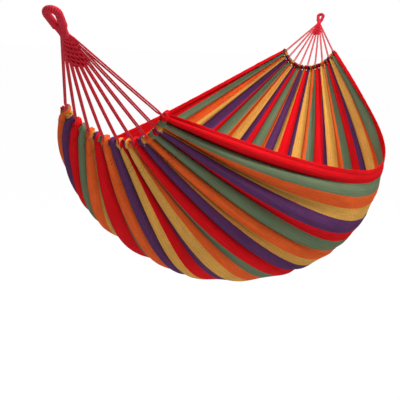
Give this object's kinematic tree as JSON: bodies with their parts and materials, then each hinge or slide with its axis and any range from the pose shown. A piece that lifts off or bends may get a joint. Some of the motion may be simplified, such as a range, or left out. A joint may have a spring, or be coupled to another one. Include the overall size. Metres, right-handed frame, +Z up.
{
  "type": "rope hammock",
  "caption": "Striped cloth hammock gathered onto rope clews, with a whipped hanging eye at each end.",
  "frame": {"origin": "where the near eye bears on its hook, on the inside of the top of the loop", "axes": "+X level to the far eye's bearing point, +Z up, -Y towards the near rim"},
  "size_m": [2.3428, 0.877, 0.7828],
  "materials": {
    "striped_cloth": "woven cotton canvas in red, green, orange, yellow and purple stripes",
    "hem_cloth": "red cotton canvas, rolled and sewn",
    "cord": "twisted crimson cord",
    "thread": "dark red sewing thread"
  },
  "bodies": {
    "near_eye": {"near_eye_core": "cord", "near_eye_whipping": "cord", "near_neck_wrap": "cord"},
    "bed": {"bed_cloth": "striped_cloth", "near_side_hem": "hem_cloth", "far_side_hem": "hem_cloth", "near_woven_clew": "cord", "near_header_cord": "cord", "near_hem_sleeve": "hem_cloth", "near_hem_stitching": "thread", "near_cord_1": "cord", "near_cord_2": "cord", "near_cord_3": "cord", "near_cord_4": "cord", "near_cord_5": "cord", "near_cord_6": "cord", "near_cord_7": "cord", "near_cord_8": "cord", "near_cord_9": "cord", "far_woven_clew": "cord", "far_header_cord": "cord", "far_hem_sleeve": "hem_cloth", "far_hem_stitching": "thread", "far_cord_1": "cord", "far_cord_2": "cord", "far_cord_3": "cord", "far_cord_4": "cord", "far_cord_5": "cord", "far_cord_6": "cord", "far_cord_7": "cord", "far_cord_8": "cord", "far_cord_9": "cord"},
    "far_eye": {"far_eye_core": "cord", "far_eye_whipping": "cord", "far_neck_wrap": "cord"}
  },
  "joints": [
    {"name": "swing", "type": "hinge", "parent": "near_eye", "child": "bed", "pos_m": [0.0491, 0, -0.0427], "axis": [1, 0, 0], "range_deg": [-30, 30]},
    {"name": "far_eye_turn", "type": "hinge", "parent": "bed", "child": "far_eye", "pos_m": [2.2709, 0, -0.0427], "axis": [1, 0, 0], "range_deg": [-30, 30]}
  ],
  "couplings": [
    {"joint": "far_eye_turn", "follows": "swing", "ratio": -1}
  ]
}
